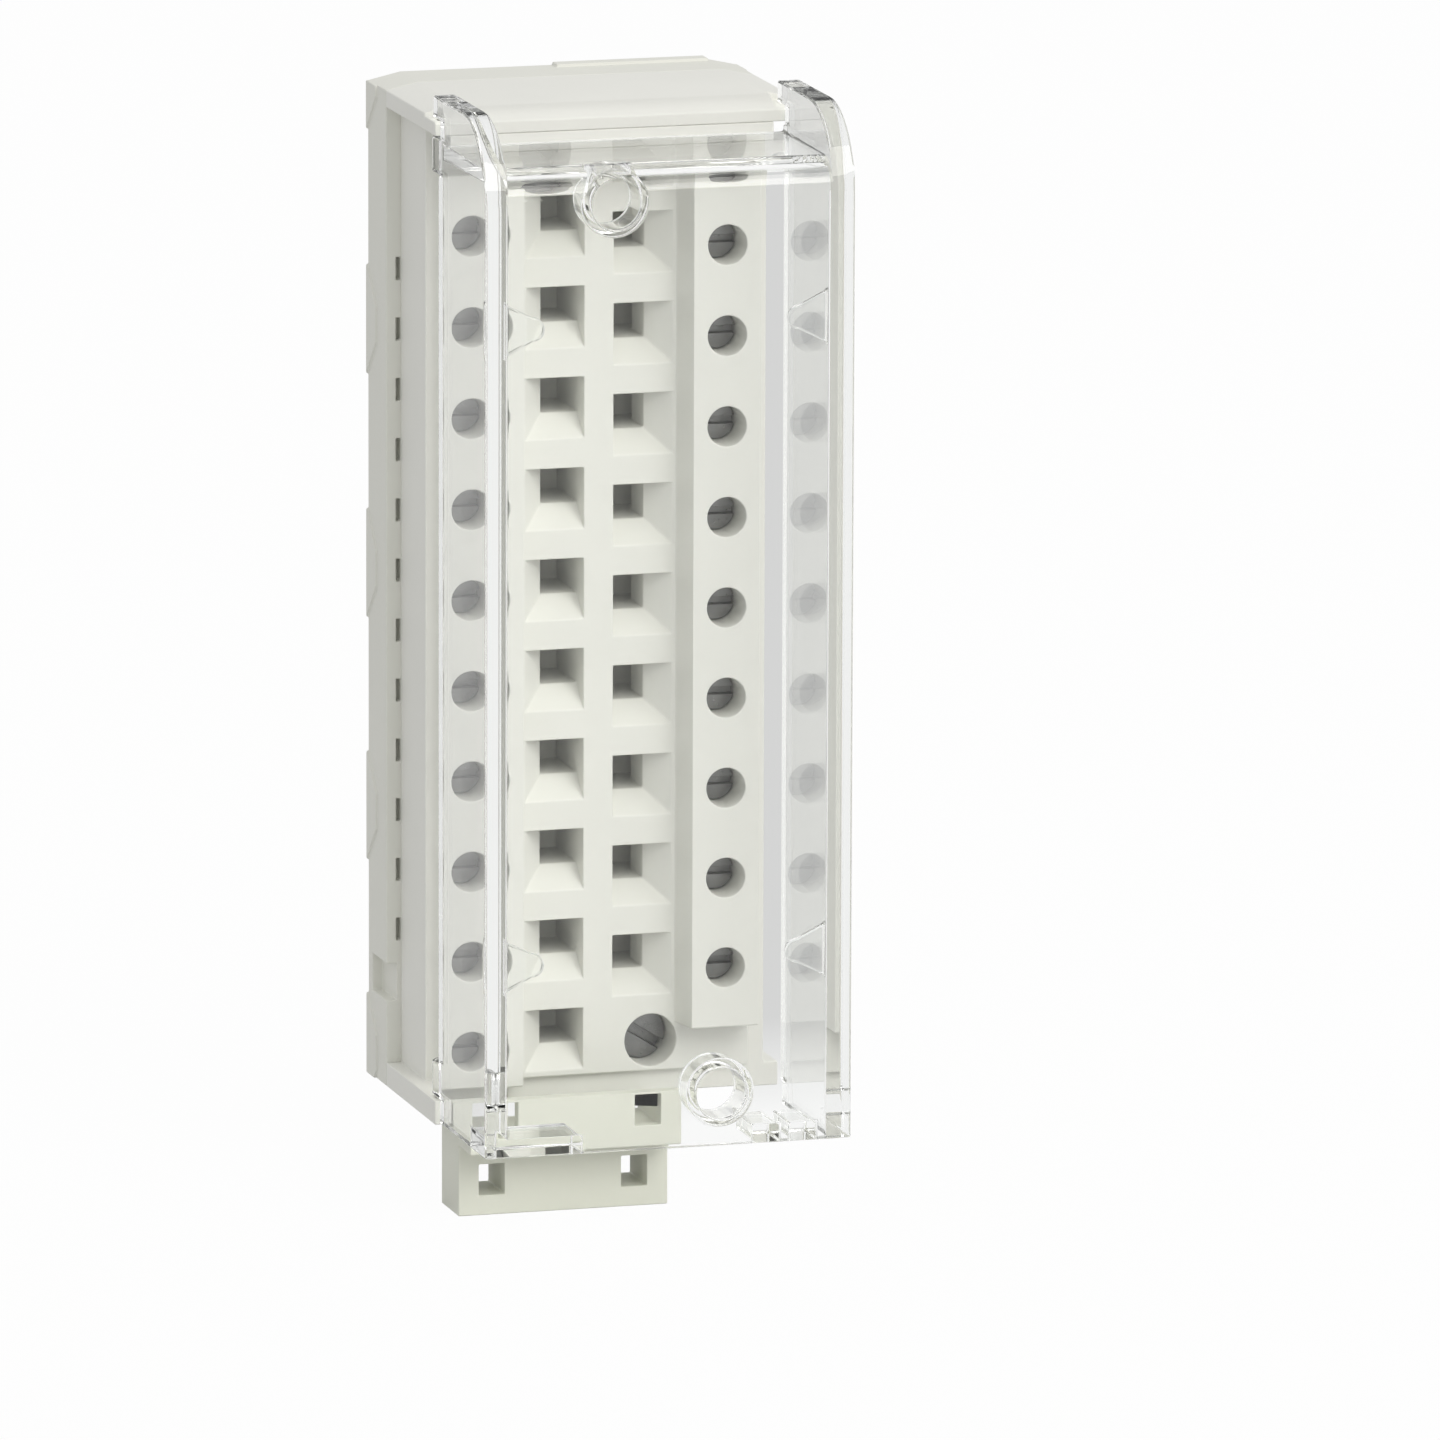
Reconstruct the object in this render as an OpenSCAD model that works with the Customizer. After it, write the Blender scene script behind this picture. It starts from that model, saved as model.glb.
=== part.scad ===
// Removable terminal block: two columns of ten cage clamps behind a clear hinged cover.
// Frame: +X right, +Y towards the module behind it, +Z up, wires and tools come from -Y.
// Origin: centre of the rear mating face.

/* [Body] */
// Width over the rear flange
body_w = 31.2; // [30:0.1:34]
// Height that the two ends add to the terminals' pitches
end_room = 8.5; // [8.2:0.1:14]
// Depth of the rear housing, from its mating face to the parting plane
flange_d = 5.6; // [5.4:0.1:6.2]
// Thickness of the rear housing's skirt
skirt_t = 1.6; // [1.4:0.1:2.2]
// Thickness of the rear housing's contact plate
plate_t = 1.3; // [1:0.1:1.5]
// How far the side faces lie inside the flange
side_inset = 1.25; // [1.2:0.05:1.7]
// Thickness of the end rims
rim_t = 2; // [1.8:0.1:2.6]
// How far the top rim stands in front of the screw strips
sill_reach = 3.8; // [3.5:0.1:6]
// Bevel along the front edge of the top rim
sill_bevel = 1; // [0.4:0.1:1.1]
// Width of the bevel at the upper corners of the body
corner_w = 2.7; // [1:0.1:4]
// Drop of the bevel at the upper corners of the body
corner_drop = 0.6; // [0.3:0.1:0.7]

/* [Face] */
// Depth from the mating face to the floor of the wiring valley
valley_d = 13.9; // [13.4:0.1:14.6]
// How far the shoulders beside the strips lie behind the valley's floor
shoulder_back = 0.7; // [0.2:0.1:1]
// How far the screw strips stand in front of the valley's floor
strip_rise = 3; // [2.4:0.1:4]
// Width of a screw strip
strip_w = 5.7; // [5:0.1:6]
// Slope of a strip's inner wall, measured at its foot
strip_draft = 0.6; // [0.2:0.1:0.7]
// Length of a strip beyond its last terminal, at its short end
strip_tail = 5; // [4:0.1:5.4]

/* [Terminals] */
// Spacing of the terminals in a column
pitch = 7.5; // [7.2:0.1:7.6]
// Distance of each screw column from the edge of the flange
column_edge = 5.6; // [5.4:0.1:5.8]
// Shift of each column from the middle, right one up and left one down
column_shift = 2.95; // [2.6:0.05:3.1]
// Diameter of the screwdriver bores
access_d = 3.3; // [3.2:0.1:4]
// Distance from a wire entry to the foot of its strip
entry_gap = 0.3; // [0.2:0.1:0.7]
// Height of a wire entry
entry_h = 5.1; // [4.6:0.1:5.4]
// Width of the land between the two columns of wire entries
land_w = 2.5; // [2.2:0.1:3.2]
// Width of the throat behind an entry
throat_w = 3.1; // [2.6:0.1:3.6]
// Height of the throat behind an entry
throat_h = 3.2; // [2.6:0.1:3.8]
// Depth of the sloped mouth of an entry
funnel_d = 2.1; // [1.6:0.1:2.6]

/* [Clamps] */
// Diameter of a clamp screw's shank
clamp_d = 2.5; // [2.2:0.1:2.6]
// Diameter of a clamp screw's head
head_d = 3.1; // [2.9:0.05:3.15]
// Thickness of a clamp screw's head
head_t = 1.3; // [1:0.1:1.6]
// Width of a clamp cage, across the strip
cage_w = 5.2; // [4.8:0.1:5.2]
// Height of a clamp cage, along the column
cage_h = 5.2; // [4.8:0.1:5.6]
// Thickness of a cage's threaded front wall
cage_front_t = 1; // [0.8:0.1:1.1]
// Thickness of a cage's other walls
cage_wall_t = 0.65; // [0.5:0.05:0.75]
// Travel of a cage from open to closed
clamp_travel = 1.8; // [1.4:0.1:1.9]
// Thickness of the contact strip metal
contact_t = 0.6; // [0.5:0.05:0.7]
// Height of a contact
contact_h = 3.5; // [3:0.1:3.6]
// How far the contact blades stop short of the mating face
blade_short = 0.8; // [0.6:0.1:1.6]

/* [Side details] */
// Vent slits in the height of one terminal
slit_share = 1.5; // [1:0.5:2]
// Number of vent slits on each side
slit_n = 12; // [6:1:13]
// Height of a vent slit
slit_h = 1.9; // [1.2:0.1:2.6]
// Width of a vent slit
slit_w = 0.4; // [0.3:0.05:0.6]
// Depth of a vent slit
slit_depth = 1.1; // [0.6:0.1:1.2]
// Drop of the middle of the slit row below the middle of the body
slit_drop = 1.1; // [0:0.1:1.4]
// Thickness of the wedge pads on the flange
pad_t = 0.2; // [0.1:0.05:0.3]
// How much of the height the row of wedge pads leaves free
pad_trim = 2.3; // [0:0.1:6]
// Height of a notch in the flange
notch_h = 3.1; // [2:0.1:4]
// Depth of a notch in the flange
notch_depth = 0.9; // [0.4:0.1:1]
// Distance of the left notch from the foot of the body
notch_end = 8.75; // [7:0.25:12]
// Height of the land along the rear of the top
land_t = 0.25; // [0.1:0.05:0.4]

/* [Cover] */
// How far the cover lies inside the edges of the flange
cover_inset = 0.2; // [0.1:0.05:0.4]
// How far the cover stands in front of the top rim
cover_reach = 14.5; // [13.5:0.1:17]
// Thickness of the cover's front and top
cover_t = 1; // [0.8:0.05:1.1]
// Thickness of the cover's cheeks
cheek_t = 1.9; // [1.4:0.1:2.1]
// Drop of the cover's top plate below the top of the body
cover_drop = 2.75; // [2.5:0.05:3]
// Radius of the edge between the cover's top and front
cover_r = 2.5; // [1.4:0.1:3]
// How far the cheeks rise above the top plate
cheek_rise = 3.9; // [3:0.1:5]
// Radius of the cheeks' front upper corners
cheek_r = 7; // [4:0.5:9]
// Height of the cover's lower edge above the foot of the body
cover_lift = 0.25; // [0.1:0.05:0.6]
// Radius of the hinge barrels
barrel_r = 1.1; // [1:0.05:1.2]
// Radius of the hinge pins
hinge_r = 0.8; // [0.6:0.05:0.85]
// Height of the hinge barrels
barrel_h = 2.95; // [2:0.05:4]
// Length of the hinge pins
hinge_l = 1.35; // [1:0.05:1.4]
// Distance of the hinge axis behind the front of the top rim
hinge_back = 1.4; // [1.3:0.05:1.6]
// Length of the collars that guide a screwdriver to the fixing screws
collar_l = 4; // [3:0.1:4.1]
// Outer diameter of the collars
collar_d = 5.4; // [5.2:0.1:5.6]
// Bore of the collars
collar_bore = 4.2; // [3.9:0.1:4.4]
// Reach of a label tab
tab_reach = 3.4; // [2:0.1:4]
// Distance of the label tabs from the cover's top plate
tab_end = 13; // [10:0.5:18]

/* [Fixing screws] */
// Distance of the fixing screws from the screw columns, across the valley
fix_inset = 5.5; // [5.4:0.1:5.9]
// Space from the upper collar to the top of the cover
fix_gap = 0.2; // [0.1:0.05:0.6]
// Space from the lower fixing screw's well to the bottom rim
well_edge = 0.35; // [0.2:0.05:1]
// Diameter of a fixing screw's shank
fix_d = 2.5; // [2.2:0.1:2.8]
// Thickness of a fixing screw's head
fix_head_t = 1.8; // [1.4:0.1:2.4]
// Diameter of the round wells in the valley floor
well_d = 4.4; // [4.2:0.05:4.5]
// Depth of the wells below the valley's floor
well_depth = 4.9; // [3:0.1:5.4]
// Reach of the fixing screws past the mating face
fix_tip = 5; // [3:0.5:8]

/* [Cable tie bracket] */
// Distance of the bracket's left end from the edge of the flange
tie_inset = 3; // [2.9:0.1:3.6]
// Length of the bracket
tie_w = 17.8; // [16:0.1:20]
// Drop of the bracket's lower edge below the body
tie_drop = 8.65; // [8:0.05:12]
// Thickness of the bracket's lower bar
tie_bar_t = 5.2; // [4:0.1:5.6]
// How far the bracket reaches under the bottom rim
tie_seat = 1.4; // [1:0.1:2.4]
// Thickness of the bracket's front plate and webs
tie_t = 1.2; // [1:0.1:1.6]
// Width of a tie window
tie_win_w = 2.2; // [1.6:0.1:3]
// Height of a tie window
tie_win_h = 2.6; // [2:0.1:3]
// Distance between the two tie windows
tie_win_span = 12.1; // [10:0.1:13]

/* [Hidden] */
$fn = 32;
ways = 10;
sides = ["l", "r"];

// Clearances, and how far a cut runs past what it cuts
turn_play = 0.05;
slide_play = 0.1;
seat_play = 0.02;
lid_gap = 0.2;
cut = 0.5;

// Colours
ivory = "#E4E4DE";
grey_ivory = "#D9DAD2";
cream = "#D6D6C8";
steel = "#9A9A98";
tin = "#C9C6BE";
clear = [0.93, 0.96, 0.98, 0.35];

// Planes of the body
body_h = ways * pitch + end_room;
half_w = body_w / 2;
half_h = body_h / 2;
side_x = half_w - side_inset;
rim_z = half_h - rim_t;
part_y = -flange_d;
plate_y = plate_t - flange_d;
shoulder_d = valley_d - shoulder_back;
strip_d = valley_d + strip_rise;
sill_d = strip_d + sill_reach;
column_x = half_w - column_edge;
strip_in = column_x - strip_w / 2;
strip_out = column_x + strip_w / 2;
strip_end = (ways - 1) / 2 * pitch - column_shift + strip_tail;

// Planes of a clamp, from the parting plane forwards
cage_rear_y = part_y - slide_play - seat_play;
bar_rear_y = cage_rear_y - cage_wall_t - clamp_travel - turn_play;
bar_front_y = bar_rear_y - contact_t;
cage_mouth_y = bar_front_y - turn_play;
cage_front_y = cage_mouth_y - cage_front_t;
shelf_rear_y = cage_front_y - clamp_travel - turn_play;
shelf_t = 0.7;
shelf_y = shelf_rear_y - shelf_t;
head_rear_y = shelf_y - seat_play;
cavity_w = cage_w + 2 * slide_play;
cavity_h = cage_h + 2 * slide_play;
slot_w = 0.6;
slot_depth = 0.7;

// Contact blades run back along the outer wall of each cavity
blade_x = column_x + cavity_w / 2 + slide_play / 2;
blade_room = contact_t + slide_play;

// Entries
entry_in = land_w / 2;
entry_w = strip_in - strip_draft - entry_gap - entry_in;
throat_z = entry_h / 2 - throat_h;

// Side details
slit_pitch = pitch / slit_share;
pad_n = 5;
pad_pitch = (body_h - pad_trim) / (pad_n - 1);
pad_d = 3;
pad_foot = 4.6;
pad_head = 1.5;
notch_rear = -1.2;
notch_z = half_h - notch_end;
land_d = 1.5;

// Hinge and cover planes
cover_w = body_w - 2 * cover_inset;
cover_d = sill_d + cover_reach;
cover_top = half_h - cover_drop;
cover_foot = -half_h + cover_lift;
cover_in = cover_w / 2 - cheek_t;
cover_rear_y = -sill_d - lid_gap;
cheek_step = 0.5;
cheek_corner_y = cover_rear_y - cheek_step;
hinge_x = -(cover_w / 2 - barrel_r);
hinge_y = hinge_back - sill_d;
hinge_top = rim_z - lid_gap;
hinge_end_play = 0.15;

// Corners of the top rim, cut down where the cheeks lie over it
perch_step = 1.15;
swing_room = 0.8;
perch_z = rim_z + perch_step;
perch_x = cover_in - 2 * lid_gap;
perch_y = hinge_y + barrel_r + swing_room;

// Label tabs and feet inside the cover
tab_z = cover_top - tab_end;
tab_t = 0.6;
tab_gap = 0.5;
tab_h = 4.4;
tab_r = 1;
foot_d = 6;
foot_h = 1.4;
foot_left = 6.4;
foot_right = 2.2;
foot_gap = 0.9;

// Fixing screws
fix_x = column_x - fix_inset;
fix_top_z = cover_top - fix_gap - collar_d / 2;
fix_low_z = rim_z - well_edge - well_d / 2;
well_floor_y = -valley_d + well_depth;
fix_bore_r = fix_d / 2 + turn_play;
fix_head_y = well_floor_y - fix_head_t;
fix_slot_w = 0.8;
fix_slot_depth = 1.1;
fix_slot_turn = 32;
clip_t = 0.6;
clip_groove = 0.25;
clip_rim = 0.8;

// Bracket planes
tie_left = half_w - tie_inset;
tie_right = tie_w - tie_left;
tie_mid = (tie_right - tie_left) / 2;
tie_foot = -half_h - tie_drop;
tie_web_drop = 1.55;
tie_web_z = -half_h - tie_web_drop;
tie_bar_rear = -shoulder_d + tie_seat;
tie_bar_front = tie_bar_rear - tie_bar_t;
tie_win_lift = 0.3;
tie_upper_z = -half_h + tie_win_lift;
tie_lower_z = (tie_web_z - tie_t + tie_foot) / 2;

// Box between two corners
module box(x0, x1, y0, y1, z0, z1) {
    translate([x0, y0, z0])
        cube([x1 - x0, y1 - y0, z1 - z0]);
}

// Round bar along the depth, from the front end y0 to the rear end y1
module rod(r, y0, y1) {
    translate([0, y1, 0])
        rotate([90, 0, 0])
            cylinder(r = r, h = y1 - y0);
}

// Outline in depth and height, carried across from x0 to x1
module across(x0, x1) {
    translate([x0, 0, 0])
        rotate([90, 0, 90])
            linear_extrude(x1 - x0)
                children();
}

// Height of a terminal, counted from the top of its column
function cell_z(side, k) =
    (side == "r" ? column_shift : -column_shift) + ((ways - 1) / 2 - k) * pitch;

// Moves a right-hand cell to its place, mirrored for the left column
module at_cell(side, k) {
    translate([0, 0, cell_z(side, k)])
        mirror([side == "l" ? 1 : 0, 0, 0])
            children();
}

module at_each_cell() {
    for (side = sides)
        for (k = [0:ways - 1])
            at_cell(side, k)
                children();
}

module at_fix_top() {
    translate([-fix_x, 0, fix_top_z])
        children();
}

module at_fix_bottom() {
    translate([fix_x, 0, -fix_low_z])
        children();
}

module at_each_fix() {
    at_fix_top() children();
    at_fix_bottom() children();
}

// Section of the terminal moulding: shoulders, strips and valley
module face_section() {
    polygon([
        [-side_x, part_y],
        [-side_x, -shoulder_d],
        [-strip_out, -shoulder_d],
        [-strip_out, -strip_d],
        [-strip_in, -strip_d],
        [-strip_in + strip_draft, -valley_d],
        [strip_in - strip_draft, -valley_d],
        [strip_in, -strip_d],
        [strip_out, -strip_d],
        [strip_out, -shoulder_d],
        [side_x, -shoulder_d],
        [side_x, part_y]
    ]);
}

// Sloped mouth of an entry: steep to the land and above, sloped to the strip and below
module entry_mouth() {
    rear = -valley_d + funnel_d;
    intersection() {
        translate([0, 0, -entry_h / 2])
            linear_extrude(entry_h)
                polygon([
                    [entry_in, -valley_d - cut],
                    [entry_in + entry_w, -valley_d - cut],
                    [entry_in + entry_w, -valley_d],
                    [entry_in + throat_w, rear],
                    [entry_in, rear]
                ]);
        across(entry_in, entry_in + entry_w)
            polygon([
                [-valley_d - cut, entry_h / 2],
                [-valley_d - cut, -entry_h / 2],
                [-valley_d, -entry_h / 2],
                [rear, throat_z],
                [rear, entry_h / 2]
            ]);
    }
}

// Everything that a terminal takes out of the moulding
module cell_room() {
    entry_mouth();
    box(entry_in, entry_in + throat_w, -valley_d + funnel_d - seat_play, part_y + cut,
        throat_z, throat_z + throat_h);
    box(entry_in, column_x, bar_rear_y, part_y + cut, throat_z, contact_h / 2);
    box(column_x - cavity_w / 2, column_x + cavity_w / 2, shelf_rear_y, part_y + cut,
        -cavity_h / 2, cavity_h / 2);
    box(column_x, blade_x + blade_room, bar_front_y - turn_play, part_y + cut,
        -contact_h / 2 - turn_play, contact_h / 2 + turn_play);
    translate([column_x, 0, 0]) {
        rod(access_d / 2, -strip_d - cut, shelf_y);
        rod(clamp_d / 2 + turn_play, shelf_y - cut, shelf_rear_y + cut);
    }
}

// Row of narrow slits in the front of the flange, along the foot of each side face
module slits() {
    first = -slit_drop - (slit_n - 1) / 2 * slit_pitch;
    for (sx = [0, 1])
        mirror([sx, 0, 0])
            for (k = [0:slit_n - 1])
                translate([side_x, part_y, first + k * slit_pitch])
                    box(0, slit_w, -cut, slit_depth, -slit_h / 2, slit_h / 2);
}

// End view of the body, bevelled at its upper corners, from the front plane y0 to y1
module end_view(y0, y1) {
    translate([0, y1, 0])
        rotate([90, 0, 0])
            linear_extrude(y1 - y0)
                polygon([
                    [-half_w, -half_h],
                    [half_w, -half_h],
                    [half_w, half_h - corner_drop],
                    [half_w - corner_w, half_h],
                    [corner_w - half_w, half_h],
                    [-half_w, half_h - corner_drop]
                ]);
}

// Upper rim, bevelled in front and cut down at its corners to let the cheeks lie over it
module top_rim() {
    difference() {
        intersection() {
            across(-half_w, half_w)
                polygon([
                    [part_y, rim_z],
                    [-sill_d, rim_z],
                    [-sill_d, half_h - sill_bevel],
                    [-sill_d + 2 * sill_bevel, half_h],
                    [part_y, half_h]
                ]);
            end_view(-sill_d, part_y);
        }
        for (sx = [0, 1])
            mirror([sx, 0, 0])
                box(perch_x, half_w + cut, -sill_d - cut, perch_y, perch_z, half_h + cut);
    }
}

// Lower rim, with a sill on the left that carries the lower hinge pin
module bottom_rim() {
    box(-half_w, half_w, -shoulder_d, part_y, -half_h, -rim_z);
    box(-half_w, -tie_left - slide_play, -sill_d, -shoulder_d + cut, -half_h, -rim_z);
}

module hinge_sockets() {
    for (sz = [0, 1])
        mirror([0, 0, sz])
            translate([hinge_x, hinge_y, hinge_top])
                cylinder(r = hinge_r + turn_play, h = hinge_l + hinge_end_play);
}

module front_housing() {
    color(ivory)
    difference() {
        union() {
            translate([0, 0, -rim_z])
                linear_extrude(2 * rim_z)
                    face_section();
            top_rim();
            bottom_rim();
        }
        box(strip_in - strip_draft - cut, strip_out + cut, -strip_d - cut, -valley_d, -rim_z, -strip_end);
        box(-strip_out - cut, -strip_in + strip_draft + cut, -strip_d - cut, -valley_d, strip_end, rim_z);
        at_each_cell() cell_room();
        at_each_fix() {
            rod(well_d / 2, -valley_d - cut, well_floor_y);
            rod(fix_bore_r, well_floor_y - cut, part_y + cut);
        }
        hinge_sockets();
    }
}

// Raised wedge pads along the rear edge of the flange
module wedge_pads() {
    for (sx = [-1, 1])
        intersection() {
            for (k = [0:pad_n - 1])
                translate([sx * half_w - pad_t, 0, sx * -slit_drop + (k - (pad_n - 1) / 2) * pad_pitch])
                    across(0, 2 * pad_t)
                        polygon([[0, -pad_foot], [0, pad_foot], [-pad_d, pad_head], [-pad_d, -pad_head]]);
            box(-body_w, body_w, part_y, 0, -half_h, half_h - corner_drop);
        }
}

module rear_housing() {
    color(grey_ivory)
    difference() {
        union() {
            end_view(part_y, 0);
            wedge_pads();
            box(0, half_w - corner_w, -land_d, 0, half_h - seat_play, half_h + land_t);
        }
        box(-half_w + skirt_t, half_w - skirt_t, plate_y, cut, -half_h + skirt_t, half_h - skirt_t);
        at_each_cell()
            box(blade_x - slide_play / 2, blade_x + blade_room, part_y - cut, plate_y + cut,
                -contact_h / 2 - turn_play, contact_h / 2 + turn_play);
        at_each_fix()
            rod(fix_bore_r, part_y - cut, plate_y + cut);
        for (sx = [-1, 1])
            translate([sx * half_w, 0, sx * notch_z])
                box(-notch_depth, notch_depth, part_y - cut, notch_rear, -notch_h / 2, notch_h / 2);
        slits();
    }
}

// One contact: a bar through the cage and a blade back to the mating side
module contact() {
    box(column_x - cavity_w / 2, blade_x + contact_t, bar_front_y, bar_rear_y, -contact_h / 2, contact_h / 2);
    box(blade_x, blade_x + contact_t, bar_front_y, -blade_short, -contact_h / 2, contact_h / 2);
}

module contacts(side) {
    color(tin)
    for (k = [0:ways - 1])
        at_cell(side, k) contact();
}

module contacts_left() { contacts("l"); }

module contacts_right() { contacts("r"); }

module clamp_screw() {
    color(steel)
    translate([column_x, 0, 0])
        difference() {
            union() {
                rod(head_d / 2, head_rear_y - head_t, head_rear_y);
                rod(clamp_d / 2, head_rear_y - seat_play, bar_front_y - turn_play);
            }
            box(-head_d, head_d, head_rear_y - head_t - cut, head_rear_y - head_t + slot_depth,
                -slot_w / 2, slot_w / 2);
        }
}

// Cage open along X, threaded at its front wall
module clamp_cage() {
    color(tin)
    translate([column_x, 0, 0])
        difference() {
            box(-cage_w / 2, cage_w / 2, cage_front_y, cage_rear_y, -cage_h / 2, cage_h / 2);
            box(-cage_w / 2 - cut, cage_w / 2 + cut, cage_mouth_y, cage_rear_y - cage_wall_t,
                -cage_h / 2 + cage_wall_t, cage_h / 2 - cage_wall_t);
            rod(clamp_d / 2 + turn_play, cage_front_y - cut, cage_mouth_y + cut);
        }
}

// Captive screw: slotted head that seats in the well, and a grooved tip
module fixing_screw() {
    color(steel)
    difference() {
        union() {
            rod(well_d / 2 - slide_play, fix_head_y, well_floor_y - seat_play);
            rod(fix_d / 2, well_floor_y - cut, fix_tip);
        }
        rotate([0, fix_slot_turn, 0])
            box(-well_d, well_d, fix_head_y - cut, fix_head_y + fix_slot_depth, -fix_slot_w / 2, fix_slot_w / 2);
        difference() {
            rod(fix_d, plate_y + seat_play, plate_y + seat_play + clip_t);
            rod(fix_d / 2 - clip_groove, plate_y - cut, plate_y + clip_t + cut);
        }
    }
}

module fixing_screw_top() { at_fix_top() fixing_screw(); }

module fixing_screw_bottom() { at_fix_bottom() fixing_screw(); }

// Snap ring in the screw's groove, open on one side
module retaining_clip() {
    inner = fix_d / 2 - clip_groove + seat_play;
    outer = fix_d / 2 + clip_rim;
    mouth = inner - clip_groove / 2;
    color(steel)
    difference() {
        rod(outer, plate_y + 2 * seat_play, plate_y + clip_t);
        rod(inner, plate_y - cut, plate_y + clip_t + cut);
        box(-mouth, mouth, plate_y - cut, plate_y + clip_t + cut, 0, outer + cut);
    }
}

module retaining_clip_top() { at_fix_top() retaining_clip(); }

module retaining_clip_bottom() { at_fix_bottom() retaining_clip(); }

// Quarter disc for an upper front corner that rounds off at the top edge z
module corner_arc(r, z) {
    intersection() {
        translate([-cover_d + r, z - r])
            circle(r = r);
        translate([-cover_d, z - r])
            square(r);
    }
}

// Outline of a cheek: rounded crown, perch over the rim, rear edge and foot
module cheek_outline() {
    crown = cover_top + cheek_rise;
    corner_arc(cheek_r, crown);
    polygon([
        [cheek_corner_y, cover_foot],
        [-cover_d, cover_foot],
        [-cover_d, crown - cheek_r],
        [-cover_d + cheek_r, crown - cheek_r],
        [-cover_d + cheek_r, crown],
        [hinge_y, crown],
        [hinge_y, perch_z + lid_gap],
        [cheek_corner_y, perch_z + lid_gap],
        [cheek_corner_y, hinge_top],
        [cover_rear_y, hinge_top],
        [cover_rear_y, -hinge_top],
        [cheek_corner_y, -hinge_top]
    ]);
}

// Front and top of the cover in one bent section
module shell_outline() {
    difference() {
        union() {
            corner_arc(cover_r, cover_top);
            translate([-cover_d, cover_foot])
                square([cover_r, cover_top - cover_r - cover_foot]);
            translate([-cover_d + cover_r, cover_top - cover_r])
                square([cover_d - cover_r + cover_rear_y, cover_r]);
        }
        translate([-cover_d + cover_r, cover_top - cover_r])
            circle(r = cover_r - cover_t);
        translate([-cover_d + cover_t, cover_foot - cut])
            square([cover_d, cover_top - cover_r - cover_foot + cut]);
        translate([-cover_d + cover_r, cover_foot])
            square([cover_d, cover_top - cover_t - cover_foot]);
    }
}

// Barrel and pin at one end of the hinge, with the arm that joins it to the cheek
module hinge_end() {
    translate([hinge_x, hinge_y, hinge_top - barrel_h])
        cylinder(r = barrel_r, h = barrel_h);
    translate([hinge_x, hinge_y, hinge_top - seat_play])
        cylinder(r = hinge_r, h = hinge_l);
    box(-cover_w / 2, -cover_in, cover_rear_y - seat_play, hinge_y, hinge_top - barrel_h, hinge_top);
}

// Rounded tab that keeps a label against the inside of the front
module label_tab() {
    tip_x = tab_r - tab_reach;
    translate([cover_in + seat_play, -cover_d + cover_t + tab_gap + tab_t, 0])
        rotate([90, 0, 0])
            linear_extrude(tab_t) {
                polygon([[0, -tab_h / 2], [0, tab_h / 2], [tip_x, tab_r], [tip_x, -tab_r]]);
                translate([tip_x, 0])
                    circle(r = tab_r);
            }
}

module cover() {
    color(clear)
    difference() {
        union() {
            for (x = [-cover_w / 2, cover_in])
                across(x, x + cheek_t)
                    cheek_outline();
            across(-cover_in - seat_play, cover_in + seat_play)
                shell_outline();
            hinge_end();
            mirror([0, 0, 1]) hinge_end();
            for (sx = [0, 1])
                for (sz = [-1, 1])
                    mirror([sx, 0, 0])
                        translate([0, 0, sz * tab_z])
                            label_tab();
            box(-cover_in - seat_play, -cover_in + foot_left, -cover_d, -cover_d + foot_d,
                cover_foot, cover_foot + foot_h);
            for (x = [cover_in - foot_gap - foot_right, cover_in - 2 * (foot_gap + foot_right)])
                box(x, x + foot_right, -cover_d, -cover_d + foot_d, cover_foot, cover_foot + foot_h);
            at_each_fix()
                rod(collar_d / 2, -cover_d, -cover_d + collar_l);
        }
        at_each_fix()
            rod(collar_bore / 2, -cover_d - cut, -cover_d + collar_l + cut);
    }
}

// Bracket for cable ties: front plate, lower bar and two rows of windows
module tie_bracket() {
    color(cream)
    difference() {
        union() {
            box(-tie_left, tie_right, -sill_d, -sill_d + tie_t, tie_web_z - tie_t, -rim_z - lid_gap);
            box(-tie_left, tie_right, -sill_d, tie_bar_rear, tie_web_z - tie_t, tie_web_z);
            box(-tie_left, tie_right, tie_bar_front, tie_bar_rear, tie_foot, tie_web_z);
            for (x = [-tie_left, tie_right - tie_t])
                box(x, x + tie_t, -sill_d, tie_bar_rear, tie_web_z - seat_play, -half_h);
        }
        for (x = [tie_mid - tie_win_span / 2, tie_mid + tie_win_span / 2]) {
            translate([x, -sill_d, tie_upper_z])
                cube([tie_win_w, 3 * tie_t, tie_win_h], center = true);
            translate([x, tie_bar_front, tie_lower_z])
                cube([tie_win_w, 3 * tie_bar_t, tie_win_h], center = true);
        }
    }
}

front_housing();
rear_housing();
contacts_left();
contacts_right();
tie_bracket();
cover();
fixing_screw_top();
fixing_screw_bottom();
retaining_clip_top();
retaining_clip_bottom();
for (side = sides)
    for (k = [1:ways]) {
        at_cell(side, k - 1) clamp_screw();
        at_cell(side, k - 1) clamp_cage();
    }
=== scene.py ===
"""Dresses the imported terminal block: moulded plastics, clear cover, plated metal and a pale stage."""
import math

import bmesh
import bpy
from mathutils import Matrix, Vector


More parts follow.
